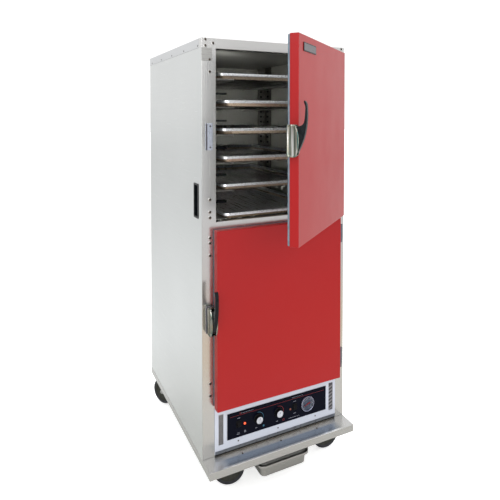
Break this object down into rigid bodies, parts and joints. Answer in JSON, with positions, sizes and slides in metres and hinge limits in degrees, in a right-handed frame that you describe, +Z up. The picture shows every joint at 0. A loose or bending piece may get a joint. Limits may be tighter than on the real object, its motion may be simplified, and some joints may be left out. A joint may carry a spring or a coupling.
{
  "type": "food holding cabinet",
  "caption": "Tall mobile heated holding cabinet with split insulated doors, edge latches, sheet-pan racks, a control panel, bumper, drip tray and swivel casters.",
  "frame": {"origin": "centre of the pressed panel on the underside of the base, midway between the side sheets and midway between the front frame's face and the back sheet", "axes": "+Z up; +Y from the doors towards the back sheet; +X to the right as seen from the front"},
  "size_m": [0.6789, 1.2323, 1.777],
  "materials": {
    "brushed_stainless": "brushed stainless sheet",
    "side_aluminium": "satin brushed aluminium sheet",
    "liner_aluminium": "mill-finish aluminium sheet",
    "red_enamel": "smooth gloss red enamel",
    "gasket": "soft blue-grey vinyl seal",
    "chrome": "polished chrome",
    "black_plastic": "black moulded plastic",
    "fascia_enamel": "pale lavender enamel",
    "control_panel": "glossy black overlay",
    "dial": "silver dial case",
    "needle": "red paint",
    "pan_aluminium": "pressed bright aluminium",
    "tyre": "black rubber tread on a moulded hub",
    "zinc": "zinc-plated pressed steel",
    "galvanised": "galvanised sheet",
    "heater_sheath": "heat-darkened steel sheath"
  },
  "bodies": {
    "cabinet": {"base_frame": "brushed_stainless", "front_frame": "brushed_stainless", "top_panel": "side_aluminium", "back_panel": "side_aluminium", "left_side_panel": "side_aluminium", "right_side_panel": "side_aluminium", "insulated_liner": "liner_aluminium", "left_hand_grip": "black_plastic", "right_hand_grip": "black_plastic", "left_slide_rack": "liner_aluminium", "right_slide_rack": "liner_aluminium", "upper_strike": "brushed_stainless", "lower_strike": "brushed_stainless", "upper_top_hinge_frame_leaf": "brushed_stainless", "upper_bottom_hinge_frame_leaf": "brushed_stainless", "lower_top_hinge_frame_leaf": "brushed_stainless", "lower_bottom_hinge_frame_leaf": "brushed_stainless", "front_left_caster_plate": "zinc", "front_right_caster_plate": "zinc", "rear_left_caster_plate": "zinc", "rear_right_caster_plate": "zinc", "control_fascia": "fascia_enamel", "control_panel": "control_panel", "thermometer": "dial", "blower_motor": "galvanised", "heater_element": "heater_sheath"},
    "upper_door": {"upper_door": "red_enamel", "upper_door_gasket": "gasket", "upper_latch_body": "chrome", "upper_top_hinge_door_leaf": "brushed_stainless", "upper_bottom_hinge_door_leaf": "brushed_stainless"},
    "upper_lever": {"upper_latch_lever": "black_plastic"},
    "lower_door": {"lower_door": "red_enamel", "lower_door_gasket": "gasket", "lower_latch_body": "chrome", "lower_top_hinge_door_leaf": "brushed_stainless", "lower_bottom_hinge_door_leaf": "brushed_stainless"},
    "lower_lever": {"lower_latch_lever": "black_plastic"},
    "front_left_swivel": {"front_left_caster_fork": "zinc"},
    "front_left_wheel": {"front_left_caster_wheel": "tyre"},
    "front_right_swivel": {"front_right_caster_fork": "zinc"},
    "front_right_wheel": {"front_right_caster_wheel": "tyre"},
    "rear_left_swivel": {"rear_left_caster_fork": "zinc"},
    "rear_left_wheel": {"rear_left_caster_wheel": "tyre"},
    "rear_right_swivel": {"rear_right_caster_fork": "zinc"},
    "rear_right_wheel": {"rear_right_caster_wheel": "tyre"},
    "pan_1": {"sheet_pan_1": "pan_aluminium"},
    "pan_2": {"sheet_pan_2": "pan_aluminium"},
    "pan_3": {"sheet_pan_3": "pan_aluminium"},
    "pan_4": {"sheet_pan_4": "pan_aluminium"},
    "pan_5": {"sheet_pan_5": "pan_aluminium"},
    "pan_6": {"sheet_pan_6": "pan_aluminium"},
    "heat_knob": {"heat_knob": "black_plastic"},
    "proof_knob": {"proof_knob": "black_plastic"},
    "heat_switch": {"heat_switch": "black_plastic"},
    "proof_switch": {"proof_switch": "black_plastic"},
    "dial_needle": {"thermometer_needle": "needle"},
    "blower_wheel": {"blower_wheel": "galvanised"},
    "water_pan": {"water_pan": "pan_aluminium"},
    "drip_tray": {"drip_tray": "brushed_stainless"}
  },
  "joints": [
    {"name": "upper_door_hinge", "type": "hinge", "parent": "cabinet", "child": "upper_door", "pos_m": [0.2935, -0.401, 0.9145], "axis": [0, 0, 1], "range_deg": [-38.4, 136.6]},
    {"name": "upper_latch_pull", "type": "hinge", "parent": "upper_door", "child": "upper_lever", "pos_m": [-0.1572, -0.77545, 1.224], "axis": [0.7837, 0.6211, 0], "range_deg": [0, 28], "stiffness_Nm_per_rad": 0.4},
    {"name": "lower_door_hinge", "type": "hinge", "parent": "cabinet", "child": "lower_door", "pos_m": [0.2935, -0.401, 0.224], "axis": [0, 0, 1], "range_deg": [0, 175]},
    {"name": "lower_latch_pull", "type": "hinge", "parent": "lower_door", "child": "lower_lever", "pos_m": [-0.2923, -0.4145, 0.5335], "axis": [1, 0, 0], "range_deg": [0, 28], "stiffness_Nm_per_rad": 0.4},
    {"name": "front_left_swivel", "type": "hinge", "parent": "cabinet", "child": "front_left_swivel", "pos_m": [-0.2355, -0.287, -0.012], "axis": [0, 0, 1], "continuous": true},
    {"name": "front_left_roll", "type": "hinge", "parent": "front_left_swivel", "child": "front_left_wheel", "pos_m": [-0.18237, -0.30123, -0.0895], "axis": [0.2588, 0.9659, 0], "continuous": true},
    {"name": "front_right_swivel", "type": "hinge", "parent": "cabinet", "child": "front_right_swivel", "pos_m": [0.2355, -0.287, -0.012], "axis": [0, 0, 1], "continuous": true},
    {"name": "front_right_roll", "type": "hinge", "parent": "front_right_swivel", "child": "front_right_wheel", "pos_m": [0.29042, -0.28988, -0.0895], "axis": [0.0523, 0.9986, 0], "continuous": true},
    {"name": "rear_left_swivel", "type": "hinge", "parent": "cabinet", "child": "rear_left_swivel", "pos_m": [-0.2355, 0.304, -0.012], "axis": [0, 0, 1], "continuous": true},
    {"name": "rear_left_roll", "type": "hinge", "parent": "rear_left_swivel", "child": "rear_left_wheel", "pos_m": [-0.263, 0.35163, -0.0895], "axis": [-0.866, -0.5, 0], "continuous": true},
    {"name": "rear_right_swivel", "type": "hinge", "parent": "cabinet", "child": "rear_right_swivel", "pos_m": [0.2355, 0.304, -0.012], "axis": [0, 0, 1], "continuous": true},
    {"name": "rear_right_roll", "type": "hinge", "parent": "rear_right_swivel", "child": "rear_right_wheel", "pos_m": [0.22595, 0.35816, -0.0895], "axis": [-0.9848, -0.1736, 0], "continuous": true},
    {"name": "pan_1_slide", "type": "slide", "parent": "cabinet", "child": "pan_1", "axis": [0, -1, 0], "range_m": [-0.003, 0.0725]},
    {"name": "pan_2_slide", "type": "slide", "parent": "cabinet", "child": "pan_2", "axis": [0, -1, 0], "range_m": [-0.0599, 0.0156]},
    {"name": "pan_3_slide", "type": "slide", "parent": "cabinet", "child": "pan_3", "axis": [0, -1, 0], "range_m": [-0.0276, 0.0479]},
    {"name": "pan_4_slide", "type": "slide", "parent": "cabinet", "child": "pan_4", "axis": [0, -1, 0], "range_m": [-0.0403, 0.0352]},
    {"name": "pan_5_slide", "type": "slide", "parent": "cabinet", "child": "pan_5", "axis": [0, -1, 0], "range_m": [-0.0338, 0.0417]},
    {"name": "pan_6_slide", "type": "slide", "parent": "cabinet", "child": "pan_6", "axis": [0, -1, 0], "range_m": [-0.0584, 0.0171]},
    {"name": "heat_knob_turn", "type": "hinge", "parent": "cabinet", "child": "heat_knob", "pos_m": [-0.0915, -0.3848, 0.134], "axis": [0, 1, 0], "range_deg": [-30, 240]},
    {"name": "proof_knob_turn", "type": "hinge", "parent": "cabinet", "child": "proof_knob", "pos_m": [0.0005, -0.3848, 0.134], "axis": [0, 1, 0], "range_deg": [-30, 240]},
    {"name": "heat_switch_rock", "type": "hinge", "parent": "cabinet", "child": "heat_switch", "pos_m": [-0.1755, -0.3848, 0.1355], "axis": [1, 0, 0], "range_deg": [0, 22]},
    {"name": "proof_switch_rock", "type": "hinge", "parent": "cabinet", "child": "proof_switch", "pos_m": [0.0775, -0.3848, 0.1355], "axis": [1, 0, 0], "range_deg": [0, 22]},
    {"name": "dial_needle_swing", "type": "hinge", "parent": "cabinet", "child": "dial_needle", "pos_m": [0.138, -0.386, 0.134], "axis": [0, 1, 0], "range_deg": [-20, 230]},
    {"name": "blower_spin", "type": "hinge", "parent": "cabinet", "child": "blower_wheel", "pos_m": [-0.0675, -0.149, 0.124], "axis": [1, 0, 0], "continuous": true},
    {"name": "water_pan_slide", "type": "slide", "parent": "cabinet", "child": "water_pan", "axis": [0, -1, 0], "range_m": [-0.045, 0.38]},
    {"name": "drip_tray_slide", "type": "slide", "parent": "cabinet", "child": "drip_tray", "axis": [0, -1, 0], "range_m": [0, 0.16]}
  ]
}
